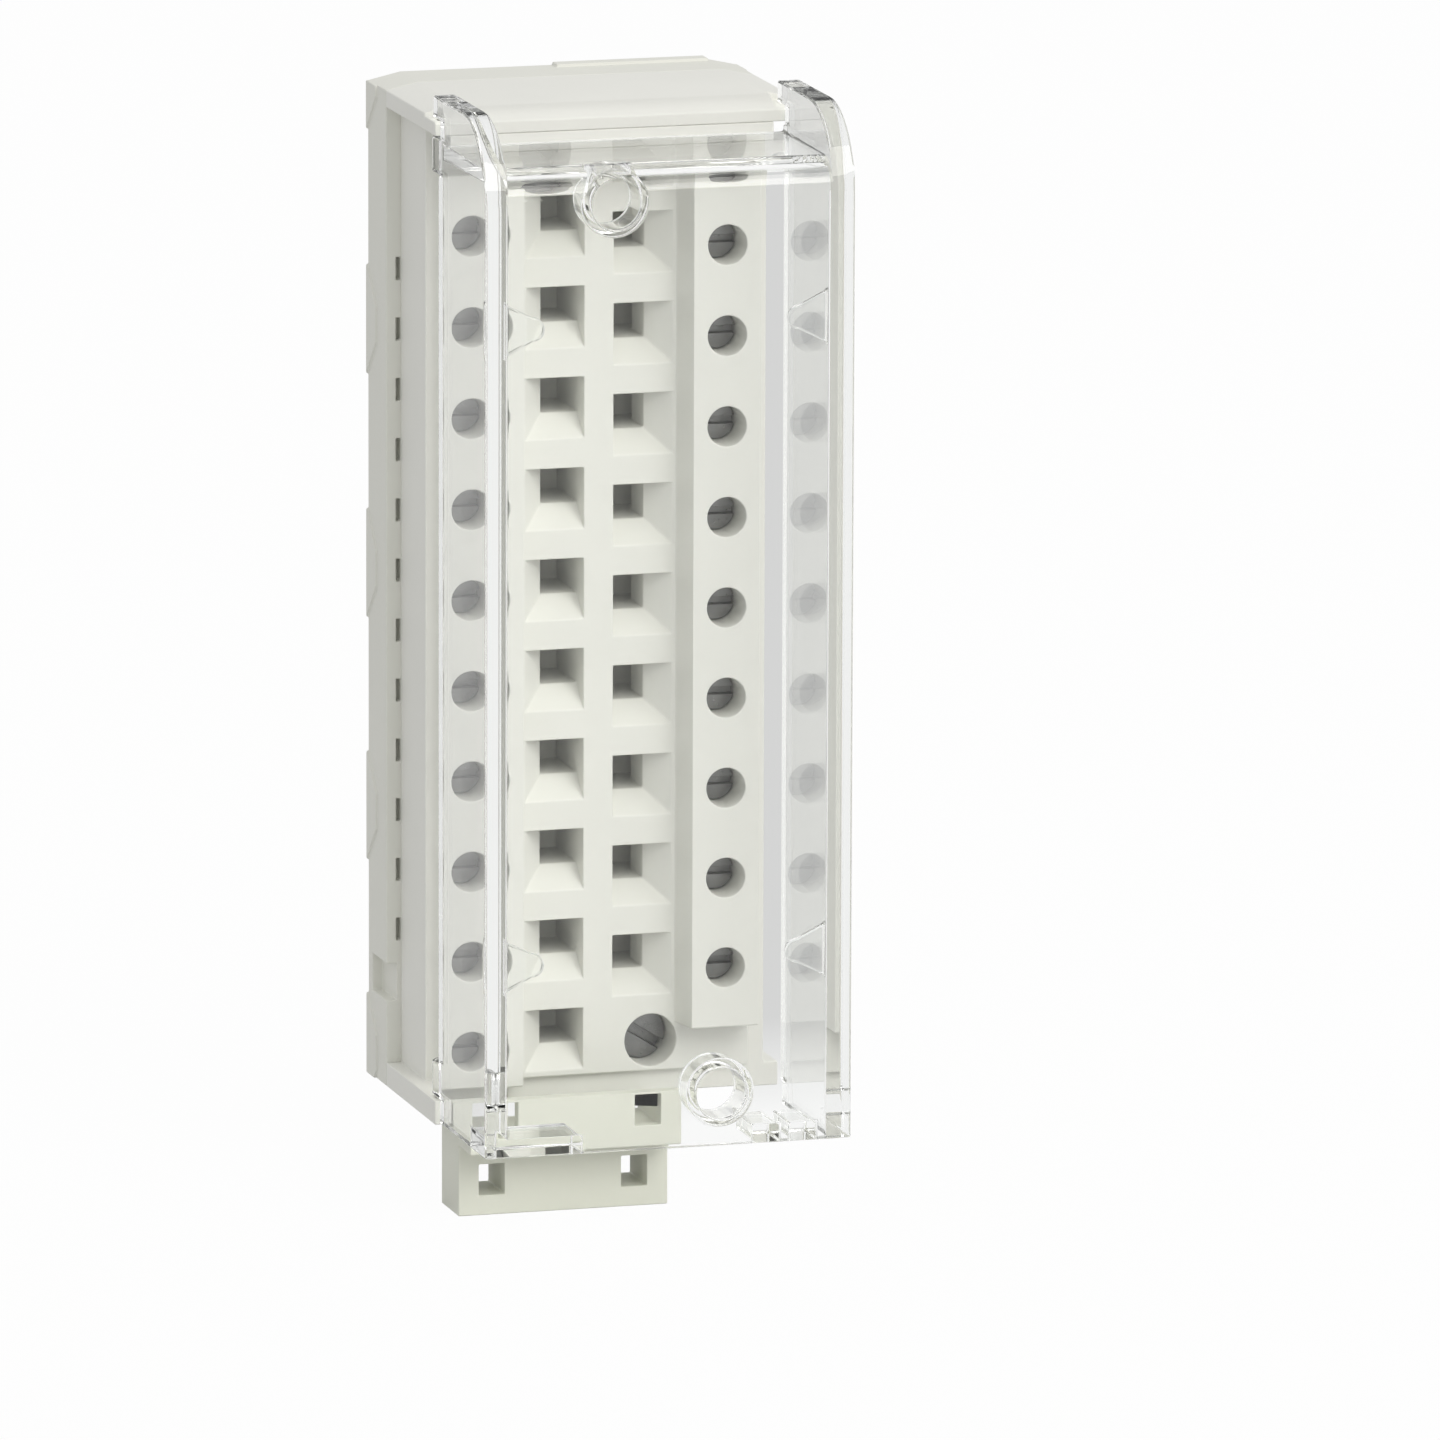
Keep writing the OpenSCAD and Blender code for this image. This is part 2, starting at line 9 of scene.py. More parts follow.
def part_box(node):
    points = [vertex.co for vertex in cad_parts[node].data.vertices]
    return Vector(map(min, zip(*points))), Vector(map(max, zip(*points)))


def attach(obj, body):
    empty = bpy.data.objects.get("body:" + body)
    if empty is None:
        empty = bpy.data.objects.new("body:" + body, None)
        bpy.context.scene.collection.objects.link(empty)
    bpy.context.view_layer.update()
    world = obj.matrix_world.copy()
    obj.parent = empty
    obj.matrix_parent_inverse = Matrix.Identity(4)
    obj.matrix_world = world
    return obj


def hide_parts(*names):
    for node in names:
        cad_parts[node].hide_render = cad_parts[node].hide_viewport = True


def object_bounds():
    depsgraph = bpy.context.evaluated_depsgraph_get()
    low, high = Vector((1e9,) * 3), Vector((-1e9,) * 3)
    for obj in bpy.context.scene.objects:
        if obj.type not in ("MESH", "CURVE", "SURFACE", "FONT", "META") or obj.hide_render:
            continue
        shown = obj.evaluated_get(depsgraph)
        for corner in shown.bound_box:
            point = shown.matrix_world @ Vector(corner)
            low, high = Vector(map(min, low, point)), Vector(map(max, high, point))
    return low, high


bl_info = {
    "name": "Terminal block dressing",
    "version": (1, 0, 0),
    "blender": (4, 5, 0),
    "location": "View3D > Sidebar > Terminal block",
    "description": "Finishes, a rim lip, threaded screws and a studio stage for a removable terminal block",
    "category": "Object",
}

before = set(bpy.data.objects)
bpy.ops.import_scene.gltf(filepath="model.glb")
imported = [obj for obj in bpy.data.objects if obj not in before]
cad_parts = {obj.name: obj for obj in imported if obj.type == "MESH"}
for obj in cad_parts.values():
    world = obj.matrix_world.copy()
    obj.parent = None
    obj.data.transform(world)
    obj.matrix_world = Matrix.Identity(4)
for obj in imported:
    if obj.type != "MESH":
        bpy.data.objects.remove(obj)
cad_box = [list(corner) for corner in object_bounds()]
MM = 0.001
SIDES = ("l", "r")
ENDS = ("top", "bottom")
WAYS = range(1, 11)

# Limits for joining, softening and shading the meshes
JOIN_WITHIN = 0.035 * MM
SAME_POINT = 0.0005 * MM
FLAT_WITHIN = math.radians(0.5)
SOFTEN_ABOVE = math.radians(40)
SMOOTH_BELOW = math.radians(38)

# The middle of a noise texture's range, where most of its values lie
NOISE_MIDDLE = (0.3, 0.7)

# Steps round a screw's head and round one turn of its thread, and the ridge's half width in pitches
HEAD_STEPS = 48
THREAD_STEPS = 24
RIDGE_HALF = 0.45

# Places in millimetres where two rounded forms meet at a thin edge, which a bevel would tear
WELL_SPOTS = (((-6.7, -14.4, 35.8), 1.2),)
COVER_SPOTS = (
    ((-13.5, -34.0, 37.6), 2.3),
    ((13.5, -34.0, 37.6), 2.3),
    ((-4.5, -34.2, 37.4), 2.9),
)


# Finishes

def new_finish(name):
    """A material with an empty tree, its output and one plain shader."""
    material = bpy.data.materials.new(name)
    material.use_nodes = True
    tree = material.node_tree
    tree.nodes.clear()
    output = tree.nodes.new("ShaderNodeOutputMaterial")
    shader = tree.nodes.new("ShaderNodeBsdfPrincipled")
    tree.links.new(shader.outputs["BSDF"], output.inputs["Surface"])
    return material, tree, shader, output


def place_reader(tree, scale=(1, 1, 1)):
    """Object coordinates through a Mapping node, so that a pattern keeps its real size."""
    where = tree.nodes.new("ShaderNodeTexCoord")
    mapping = tree.nodes.new("ShaderNodeMapping")
    mapping.inputs["Scale"].default_value = scale
    tree.links.new(where.outputs["Object"], mapping.inputs["Vector"])
    return mapping.outputs["Vector"]


def cloud(tree, vector, grain, detail=2.0):
    """Soft noise whose lumps are about grain metres across."""
    noise = tree.nodes.new("ShaderNodeTexNoise")
    noise.inputs["Scale"].default_value = 1 / grain
    noise.inputs["Detail"].default_value = detail
    tree.links.new(vector, noise.inputs["Vector"])
    return noise.outputs["Fac"]


def remapped(tree, value, old, new):
    """Carries a value from its old range over to a new one."""
    remap = tree.nodes.new("ShaderNodeMapRange")
    remap.inputs["From Min"].default_value = old[0]
    remap.inputs["From Max"].default_value = old[1]
    remap.inputs["To Min"].default_value = new[0]
    remap.inputs["To Max"].default_value = new[1]
    tree.links.new(value, remap.inputs["Value"])
    return remap.outputs["Result"]


def two_tones(tree, value, colour, darker, lighter):
    """A colour ramp over a noise, from a darker to a lighter tone of one colour."""
    ramp = tree.nodes.new("ShaderNodeValToRGB")
    elements = ramp.color_ramp.elements
    for element, position, factor in zip(elements, NOISE_MIDDLE, (darker, lighter)):
        element.position = position
        element.color = (colour[0] * factor, colour[1] * factor, colour[2] * factor, 1.0)
    tree.links.new(value, ramp.inputs["Fac"])
    return ramp.outputs["Color"]


def relief(tree, shader, height, depth):
    """Fine relief of the given depth in metres."""
    bump = tree.nodes.new("ShaderNodeBump")
    bump.inputs["Strength"].default_value = 0.5
    bump.inputs["Distance"].default_value = depth
    tree.links.new(height, bump.inputs["Height"])
    tree.links.new(bump.outputs["Normal"], shader.inputs["Normal"])


def mixed(tree, factor, first, second):
    """Mixes two shaders by a factor."""
    mix = tree.nodes.new("ShaderNodeMixShader")
    tree.links.new(factor, mix.inputs["Fac"])
    tree.links.new(first, mix.inputs[1])
    tree.links.new(second, mix.inputs[2])
    return mix.outputs["Shader"]


def moulded_plastic(name, colour, looks):
    """Matte moulded plastic: faint flow clouds, spark-eroded grain and uneven gloss."""
    material, tree, shader, _ = new_finish(name)
    place = place_reader(tree)
    flow = cloud(tree, place, looks.flow_size)
    grain = cloud(tree, place, looks.grain_size, 3.0)
    tones = two_tones(tree, flow, colour, 1 - looks.tone_spread, 1 + looks.tone_spread)
    gloss = remapped(tree, grain, NOISE_MIDDLE, (looks.gloss_low, looks.gloss_high))
    tree.links.new(tones, shader.inputs["Base Color"])
    tree.links.new(gloss, shader.inputs["Roughness"])
    shader.inputs["Specular IOR Level"].default_value = looks.shine
    relief(tree, shader, grain, looks.grain_depth)
    return material


def clear_plastic(name, looks):
    """Polished clear plastic that lets lamp light through, with slight waves from moulding."""
    material, tree, shader, output = new_finish(name)
    waves = cloud(tree, place_reader(tree), looks.wave_size)
    shader.inputs["Base Color"].default_value = (*looks.clear_colour, 1.0)
    shader.inputs["Transmission Weight"].default_value = 1.0
    shader.inputs["IOR"].default_value = looks.clear_ior
    shader.inputs["Roughness"].default_value = looks.clear_roughness
    relief(tree, shader, waves, looks.wave_depth)
    passing = tree.nodes.new("ShaderNodeBsdfTransparent")
    passing.inputs["Color"].default_value = (*looks.clear_shadow, 1.0)
    rays = tree.nodes.new("ShaderNodeLightPath").outputs
    surface = mixed(tree, rays["Is Shadow Ray"], shader.outputs["BSDF"], passing.outputs["BSDF"])
    tree.links.new(surface, output.inputs["Surface"])
    depth = tree.nodes.new("ShaderNodeVolumeAbsorption")
    depth.inputs["Color"].default_value = (*looks.clear_depth_tint, 1.0)
    depth.inputs["Density"].default_value = looks.clear_density
    tree.links.new(depth.outputs["Volume"], output.inputs["Volume"])
    return material


def plated_metal(name, colour, looks, scale=(1, 1, 1)):
    """Plated metal with drawn or turned streaks and cloudy tarnish."""
    material, tree, shader, _ = new_finish(name)
    streaks = cloud(tree, place_reader(tree, scale), looks.streak_size, 3.0)
    tarnish = cloud(tree, place_reader(tree), looks.tarnish_size)
    tones = two_tones(tree, tarnish, colour, looks.tarnish_dark, looks.tarnish_light)
    gloss = remapped(tree, streaks, NOISE_MIDDLE, (looks.metal_gloss_low, looks.metal_gloss_high))
    tree.links.new(tones, shader.inputs["Base Color"])
    tree.links.new(gloss, shader.inputs["Roughness"])
    shader.inputs["Metallic"].default_value = 1.0
    relief(tree, shader, streaks, looks.streak_depth)
    return material


# Edges and shading

def new_group(name):
    """An empty modifier group, with its incoming and its outgoing geometry."""
    group = bpy.data.node_groups.new(name, "GeometryNodeTree")
    for way in ("INPUT", "OUTPUT"):
        group.interface.new_socket("Geometry", in_out=way, socket_type="NodeSocketGeometry")
    source = group.nodes.new("NodeGroupInput")
    result = group.nodes.new("NodeGroupOutput")
    return group, source.outputs[0], result.inputs[0]


def above(group, value, limit):
    """True where a value lies above a limit."""
    test = group.nodes.new("FunctionNodeCompare")
    test.operation = "GREATER_THAN"
    test.inputs["B"].default_value = limit
    group.links.new(value, test.inputs["A"])
    return test.outputs["Result"]


def angle_smoothing():
    """Modifier group that shades a piece smooth, except over edges that turn sharply."""
    name = "Smooth by angle"
    if name in bpy.data.node_groups:
        return bpy.data.node_groups[name]
    group, source, result = new_group(name)
    faces = group.nodes.new("GeometryNodeSetShadeSmooth")
    edges = group.nodes.new("GeometryNodeSetShadeSmooth")
    edges.domain = "EDGE"
    edges.inputs["Shade Smooth"].default_value = False
    turn = group.nodes.new("GeometryNodeInputMeshEdgeAngle")
    sharp = above(group, turn.outputs["Unsigned Angle"], SMOOTH_BELOW)
    group.links.new(sharp, edges.inputs["Selection"])
    group.links.new(source, faces.inputs["Geometry"])
    group.links.new(faces.outputs["Geometry"], edges.inputs["Geometry"])
    group.links.new(edges.outputs["Geometry"], result)
    return group


def edge_weights(node, sharp_spots):
    """Modifier group that weighs the edges to soften: sharp turns outside the given spots."""
    group, source, result = new_group(f"Edges of {node}")
    turn = group.nodes.new("GeometryNodeInputMeshEdgeAngle")
    place = group.nodes.new("GeometryNodeInputPosition")
    chosen = above(group, turn.outputs["Unsigned Angle"], SOFTEN_ABOVE)
    for centre, radius in sharp_spots:
        away = group.nodes.new("ShaderNodeVectorMath")
        away.operation = "DISTANCE"
        away.inputs[1].default_value = [part * MM for part in centre]
        group.links.new(place.outputs["Position"], away.inputs[0])
        both = group.nodes.new("FunctionNodeBooleanMath")
        group.links.new(chosen, both.inputs[0])
        group.links.new(above(group, away.outputs["Value"], radius * MM), both.inputs[1])
        chosen = both.outputs["Boolean"]
    store = group.nodes.new("GeometryNodeStoreNamedAttribute")
    store.domain = "EDGE"
    store.inputs["Name"].default_value = "bevel_weight_edge"
    store.inputs["Value"].default_value = 1.0
    group.links.new(source, store.inputs["Geometry"])
    group.links.new(chosen, store.inputs["Selection"])
    group.links.new(store.outputs["Geometry"], result)
    return group


def soften(piece, width, steps):
    """Adds a bevel, and leaves it to the caller to say which edges it takes."""
    bevel = piece.modifiers.new("Soft edges", "BEVEL")
    bevel.width = width
    bevel.segments = steps
    return bevel


def shade(piece):
    """Shades a piece smooth by angle, with its flat faces leading."""
    smooth = piece.modifiers.new("Smooth by angle", "NODES")
    smooth.node_group = angle_smoothing()
    even = piece.modifiers.new("Flat faces lead", "WEIGHTED_NORMAL")
    even.keep_sharp = True


def dress(node, material, edge=0.0, steps=3, sharp_spots=()):
    """Gives a CAD node its finish, softens its sharp edges by a live bevel and shades it by angle."""
    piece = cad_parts[node]
    piece.data.materials.clear()
    piece.data.materials.append(material)
    weld = piece.modifiers.new("Join corners", "WELD")
    weld.merge_threshold = JOIN_WITHIN
    flat = piece.modifiers.new("Join flat faces", "DECIMATE")
    flat.decimate_type = "DISSOLVE"
    flat.angle_limit = FLAT_WITHIN
    if edge:
        weights = piece.modifiers.new("Edges to soften", "NODES")
        weights.node_group = edge_weights(node, sharp_spots)
        bevel = soften(piece, edge, steps)
        bevel.limit_method = "WEIGHT"
        bevel.use_clamp_overlap = False
    shade(piece)


# Sizes and colours

class PlasticLooks(bpy.types.PropertyGroup):
    """Colours and grain of the moulded and clear plastics."""

    ivory: bpy.props.FloatVectorProperty(
        name="Ivory", description="Colour of the terminal moulding",
        default=(0.80, 0.80, 0.755), subtype="COLOR", size=3, min=0, max=1)
    grey_ivory: bpy.props.FloatVectorProperty(
        name="Grey ivory", description="Colour of the rear housing",
        default=(0.755, 0.757, 0.70), subtype="COLOR", size=3, min=0, max=1)
    # The bracket's cream is partly its own yellower tone and partly painted light: it is lifted lighter to
    # make up for the shade it gets low by the floor, under the cover's foot.
    cream: bpy.props.FloatVectorProperty(
        name="Cream", description="Colour of the cable tie bracket",
        default=(0.76, 0.77, 0.685), subtype="COLOR", size=3, min=0, max=1)
    flow_size: bpy.props.FloatProperty(
        name="Flow clouds", description="Width of the faint colour clouds",
        default=9 * MM, subtype="DISTANCE", precision=5)
    tone_spread: bpy.props.FloatProperty(
        name="Tone spread", description="Share by which the colour varies",
        default=0.012, min=0, max=0.1)
    grain_size: bpy.props.FloatProperty(
        name="Grain", description="Width of the moulded grain",
        default=0.18 * MM, subtype="DISTANCE", precision=6)
    grain_depth: bpy.props.FloatProperty(
        name="Grain depth", description="Depth of the moulded grain",
        default=0.006 * MM, subtype="DISTANCE", precision=6)
    gloss_low: bpy.props.FloatProperty(
        name="Least roughness", description="Roughness of the glossiest spots", default=0.42, min=0, max=1)
    gloss_high: bpy.props.FloatProperty(
        name="Most roughness", description="Roughness of the dullest spots", default=0.55, min=0, max=1)
    shine: bpy.props.FloatProperty(
        name="Shine", description="Strength of the mouldings' sheen", default=0.35, min=0, max=1)
    edge: bpy.props.FloatProperty(
        name="Edge radius", description="Rounding of the moulded edges",
        default=0.12 * MM, subtype="DISTANCE", precision=6)
    clear_colour: bpy.props.FloatVectorProperty(
        name="Clear tint", description="Tint of the clear cover",
        default=(0.985, 0.99, 0.985), subtype="COLOR", size=3, min=0, max=1)
    clear_shadow: bpy.props.FloatVectorProperty(
        name="Clear shadow", description="Share of lamp light that the clear cover lets through",
        default=(0.93, 0.935, 0.93), subtype="COLOR", size=3, min=0, max=1)
    clear_depth_tint: bpy.props.FloatVectorProperty(
        name="Depth tint", description="Tone that light takes on its way along the clear cover",
        default=(0.50, 0.51, 0.48), subtype="COLOR", size=3, min=0, max=1)
    clear_density: bpy.props.FloatProperty(
        name="Depth density", description="How fast light fades along the clear plastic, per metre",
        default=12, min=0)
    clear_ior: bpy.props.FloatProperty(
        name="Refraction", description="Index of refraction of the clear cover", default=1.49, min=1, max=2)
    clear_roughness: bpy.props.FloatProperty(
        name="Clear roughness", description="Roughness of the clear cover", default=0.0, min=0, max=1)
    clear_edge: bpy.props.FloatProperty(
        name="Clear edge radius", description="Rounding of the cover's edges",
        default=0.2 * MM, subtype="DISTANCE", precision=6)
    wave_size: bpy.props.FloatProperty(
        name="Waves", description="Width of the slight waves in the clear cover",
        default=14 * MM, subtype="DISTANCE", precision=5)
    wave_depth: bpy.props.FloatProperty(
        name="Wave depth", description="Depth of the waves in the clear cover",
        default=0.003 * MM, subtype="DISTANCE", precision=6)


class MetalLooks(bpy.types.PropertyGroup):
    """Colours and streaks of the plated metal pieces."""

    steel: bpy.props.FloatVectorProperty(
        name="Steel", description="Colour of the screws",
        default=(0.22, 0.22, 0.215), subtype="COLOR", size=3, min=0, max=1)
    zinc: bpy.props.FloatVectorProperty(
        name="Zinc", description="Colour of the clamp cages",
        default=(0.50, 0.49, 0.47), subtype="COLOR", size=3, min=0, max=1)
    tin: bpy.props.FloatVectorProperty(
        name="Tin", description="Colour of the contacts",
        default=(0.55, 0.53, 0.49), subtype="COLOR", size=3, min=0, max=1)
    streak_size: bpy.props.FloatProperty(
        name="Streaks", description="Width of the drawing streaks",
        default=0.25 * MM, subtype="DISTANCE", precision=6)
    streak_depth: bpy.props.FloatProperty(
        name="Streak depth", description="Depth of the drawing streaks",
        default=0.004 * MM, subtype="DISTANCE", precision=6)
    tarnish_size: bpy.props.FloatProperty(
        name="Tarnish", description="Width of the tarnish clouds",
        default=1.6 * MM, subtype="DISTANCE", precision=5)
    tarnish_dark: bpy.props.FloatProperty(
        name="Tarnish dark", description="Factor on the colour where tarnish is strongest",
        default=0.86, min=0, max=2)
    tarnish_light: bpy.props.FloatProperty(
        name="Tarnish light", description="Factor on the colour where the metal is cleanest",
        default=1.08, min=0, max=2)
    metal_gloss_low: bpy.props.FloatProperty(
        name="Least roughness", description="Roughness of the brightest metal", default=0.26, min=0, max=1)
    metal_gloss_high: bpy.props.FloatProperty(
        name="Most roughness", description="Roughness of the dullest metal", default=0.42, min=0, max=1)
    edge: bpy.props.FloatProperty(
        name="Edge radius", description="Rounding of the metal edges",
        default=0.06 * MM, subtype="DISTANCE", precision=6)


class TrimSizes(bpy.types.PropertyGroup):
    """Sizes of the lip under the top rim and of the fixing screws."""

    rim_t: bpy.props.FloatProperty(
        name="Rim", description="Thickness of the top rim",
        default=2 * MM, subtype="DISTANCE", precision=5)
    lip_drop: bpy.props.FloatProperty(
        name="Lip height", description="How far the lip hangs below the top rim",
        default=1.3 * MM, subtype="DISTANCE", precision=5)
    lip_foot: bpy.props.FloatProperty(
        name="Lip foot", description="Thickness of the lip at its lower edge",
        default=0.9 * MM, subtype="DISTANCE", precision=5)
    lip_root: bpy.props.FloatProperty(
        name="Lip root", description="Thickness of the lip where it meets the rim",
        default=1.5 * MM, subtype="DISTANCE", precision=5)
    lip_inset: bpy.props.FloatProperty(
        name="Lip inset", description="Distance of the lip's ends from the sides of the body",
        default=2.75 * MM, subtype="DISTANCE", precision=5)
    head_t: bpy.props.FloatProperty(
        name="Head", description="Thickness of a fixing screw's head",
        default=1.8 * MM, subtype="DISTANCE", precision=5)
    slot_w: bpy.props.FloatProperty(
        name="Slot width", description="Width of the slot in the head",
        default=0.8 * MM, subtype="DISTANCE", precision=5)
    slot_depth: bpy.props.FloatProperty(
        name="Slot depth", description="Depth of the slot in the head",
        default=1.1 * MM, subtype="DISTANCE", precision=5)
    slot_turn: bpy.props.FloatProperty(
        name="Slot turn", description="How far the slot is turned from level",
        default=math.radians(32), subtype="ANGLE")
    shank_r: bpy.props.FloatProperty(
        name="Shank radius", description="Radius of the shank and of the thread's crest",
        default=1.25 * MM, subtype="DISTANCE", precision=5)
    core_r: bpy.props.FloatProperty(
        name="Core radius", description="Radius of the thread's root and of the clip's groove",
        default=1.0 * MM, subtype="DISTANCE", precision=5)
    thread_l: bpy.props.FloatProperty(
        name="Thread length", description="Length of the thread, measured from the tip",
        default=6.4 * MM, subtype="DISTANCE", precision=5)
    thread_pitch: bpy.props.FloatProperty(
        name="Thread pitch", description="Rise of the thread in one turn",
        default=0.45 * MM, subtype="DISTANCE", precision=5)
    thread_sink: bpy.props.FloatProperty(
        name="Thread sink", description="How deep the foot of the thread's ridge lies in the core",
        default=0.03 * MM, subtype="DISTANCE", precision=6)
    tip_bevel: bpy.props.FloatProperty(
        name="Tip bevel", description="Bevel at the tip of a fixing screw",
        default=0.35 * MM, subtype="DISTANCE", precision=5)


class StageLooks(bpy.types.PropertyGroup):
    """Camera place and light levels of the studio."""

    eye: bpy.props.FloatVectorProperty(
        name="Eye", description="Place of the camera",
        default=(-0.3735, -1.3241, 0.2625), subtype="TRANSLATION", size=3)
    yaw: bpy.props.FloatProperty(
        name="Yaw", description="How far the camera looks to the right of straight ahead",
        default=math.radians(16.333), subtype="ANGLE")
    pitch: bpy.props.FloatProperty(
        name="Pitch", description="How far the camera looks down",
        default=math.radians(11.32), subtype="ANGLE")
    roll: bpy.props.FloatProperty(
        name="Roll", description="Tilt of the camera about its own view",
        default=math.radians(0.195), subtype="ANGLE")
    lens: bpy.props.FloatProperty(
        name="Lens", description="Focal length on the sensor, in millimetres",
        default=425.4, min=10, max=1000)
    sensor: bpy.props.FloatProperty(
        name="Sensor", description="Width of the sensor, in millimetres", default=36, min=1, max=100)
    fill: bpy.props.FloatProperty(
        name="Fill", description="Level of the even light from all round", default=0.74, min=0, max=2)
    key: bpy.props.FloatProperty(
        name="Key", description="Power of the large lamp above the front, in watts",
        default=4.0, min=0, max=100)
    key_place: bpy.props.FloatVectorProperty(
        name="Key place", description="Place of the large lamp, which faces the part",
        default=(0.30, -0.75, 0.60), subtype="TRANSLATION", size=3)
    key_size: bpy.props.FloatProperty(
        name="Key size", description="Width and height of the large lamp", default=0.6, subtype="DISTANCE")
    key_colour: bpy.props.FloatVectorProperty(
        name="Key colour", description="Colour of the large lamp's light",
        default=(1, 0.985, 0.945), subtype="COLOR", size=3, min=0, max=1)
    bounces: bpy.props.IntProperty(
        name="Bounces", description="Turns that light may take, also along the clear cover's edges",
        default=32, min=4, max=64)
    through_tone: bpy.props.FloatProperty(
        name="Seen through", description="Level of the surroundings seen straight through the clear cover",
        default=0.68, min=0, max=1)
    fade_start: bpy.props.FloatProperty(
        name="Fade start", description="Depth up to which the floor seen through the clear cover is white",
        default=12 * MM, subtype="DISTANCE", precision=5)
    fade_end: bpy.props.FloatProperty(
        name="Fade end", description="Depth from which the floor seen through the clear cover is dullest",
        default=50 * MM, subtype="DISTANCE", precision=5)
    mirror_tone: bpy.props.FloatProperty(
        name="Mirrored", description="Level of the surroundings as the clear cover mirrors them",
        default=0.30, min=0, max=1)
    sheen_tone: bpy.props.FloatProperty(
        name="Sheen", description="Level of the surroundings in the soft sheen of mouldings and metal",
        default=0.70, min=0, max=1)
    floor_size: bpy.props.FloatProperty(
        name="Floor size", description="Half the width of the floor", default=6, subtype="DISTANCE")
    floor_colour: bpy.props.FloatVectorProperty(
        name="Floor", description="Colour of the floor",
        default=(0.65, 0.65, 0.65), subtype="COLOR", size=3, min=0, max=1)
    floor_glow: bpy.props.FloatProperty(
        name="Floor lift", description="Share of plain white that the camera sees in the floor",
        default=0.97, min=0, max=1)


# Pieces

def mesh_object(shape, name, material):
    """Turns a bmesh into an object of the scene with one material."""
    mesh = bpy.data.meshes.new(name)
    shape.to_mesh(mesh)
    shape.free()
    mesh.materials.append(material)
    made = bpy.data.objects.new(name, mesh)
    bpy.context.scene.collection.objects.link(made)
    return made


def finished_piece(shape, name, material, body, edge):
    """Turns a bmesh into a piece that rides on a body, with softened edges."""
    bmesh.ops.remove_doubles(shape, verts=shape.verts, dist=SAME_POINT)
    bmesh.ops.recalc_face_normals(shape, faces=shape.faces)
    piece = mesh_object(shape, name, material)
    bevel = soften(piece, edge, 2)
    bevel.limit_method = "ANGLE"
    bevel.angle_limit = SOFTEN_ABOVE
    shade(piece)
    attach(piece, body)
    return piece


def carry_rim(shape, rim, reach, factor):
    """Extrudes the open rim of a turned form along the depth, widened or narrowed by a factor."""
    made = bmesh.ops.extrude_edge_only(shape, edges=rim)["geom"]
    points = [part for part in made if isinstance(part, bmesh.types.BMVert)]
    bmesh.ops.translate(shape, verts=points, vec=(0, reach, 0))
    bmesh.ops.scale(shape, verts=points, vec=(factor, 1, factor))
    return [part for part in made if isinstance(part, bmesh.types.BMEdge) and part.is_boundary]


def slotted_head(shape, radius, sizes):
    """Round head with a slot across it, its front at zero depth; gives back its open rear rim."""
    bmesh.ops.create_circle(shape, cap_ends=True, radius=radius, segments=HEAD_STEPS)
    bmesh.ops.rotate(shape, verts=shape.verts, matrix=Matrix.Rotation(math.pi / 2, 3, "X"))
    for side in (-1, 1):
        everything = shape.verts[:] + shape.edges[:] + shape.faces[:]
        wall = (0, 0, side * sizes.slot_w / 2)
        bmesh.ops.bisect_plane(shape, geom=everything, plane_co=wall, plane_no=(0, 0, 1))
    bmesh.ops.translate(shape, verts=shape.verts, vec=(0, sizes.slot_depth, 0))
    lands = [face for face in shape.faces if abs(face.calc_center_median().z) > sizes.slot_w / 2]
    raised = bmesh.ops.extrude_face_region(shape, geom=lands)["geom"]
    fronts = [part for part in raised if isinstance(part, bmesh.types.BMVert)]
    bmesh.ops.translate(shape, verts=fronts, vec=(0, -sizes.slot_depth, 0))
    bmesh.ops.delete(shape, geom=lands, context="FACES_ONLY")
    bmesh.ops.rotate(shape, verts=shape.verts, matrix=Matrix.Rotation(sizes.slot_turn, 3, "Y"))
    rim = [edge for edge in shape.edges if edge.is_boundary]
    return carry_rim(shape, rim, sizes.head_t - sizes.slot_depth, 1)


def thread_ridge(shape, start, sizes):
    """Helical ridge with a pointed crest, spun from its start towards the tip, with both ends closed."""
    half = RIDGE_HALF * sizes.thread_pitch
    root = sizes.core_r - sizes.thread_sink
    corners = ((root, start - half), (sizes.shank_r, start), (root, start + half))
    points = [shape.verts.new((radius, depth, 0)) for radius, depth in corners]
    first = shape.faces.new(points)
    turns = int((sizes.thread_l - sizes.tip_bevel) / sizes.thread_pitch) - 1
    bmesh.ops.spin(
        shape, geom=[first, *first.verts, *first.edges], cent=(0, 0, 0), axis=(0, 1, 0),
        dvec=(0, sizes.thread_pitch / THREAD_STEPS, 0),
        angle=2 * math.pi * turns, steps=THREAD_STEPS * turns)


class TERMINAL_OT_mouldings(bpy.types.Operator):
    """Finish the terminal moulding, the rear housing and the cable tie bracket"""

    bl_idname = "terminal.mouldings"
    bl_label = "Mouldings"

    def execute(self, context):
        looks = context.scene.plastic_looks
        ivory = moulded_plastic("ivory_moulding", looks.ivory, looks)
        grey_ivory = moulded_plastic("grey_ivory_moulding", looks.grey_ivory, looks)
        # Painted light: the bracket's cream is lifted lighter than its own tone to make up for the shade
        # near the floor.
        cream = moulded_plastic("cream_moulding_with_painted_light", looks.cream, looks)
        dress("front_housing", ivory, looks.edge, sharp_spots=WELL_SPOTS)
        dress("rear_housing", grey_ivory, looks.edge)
        dress("tie_bracket", cream, looks.edge)
        return {"FINISHED"}


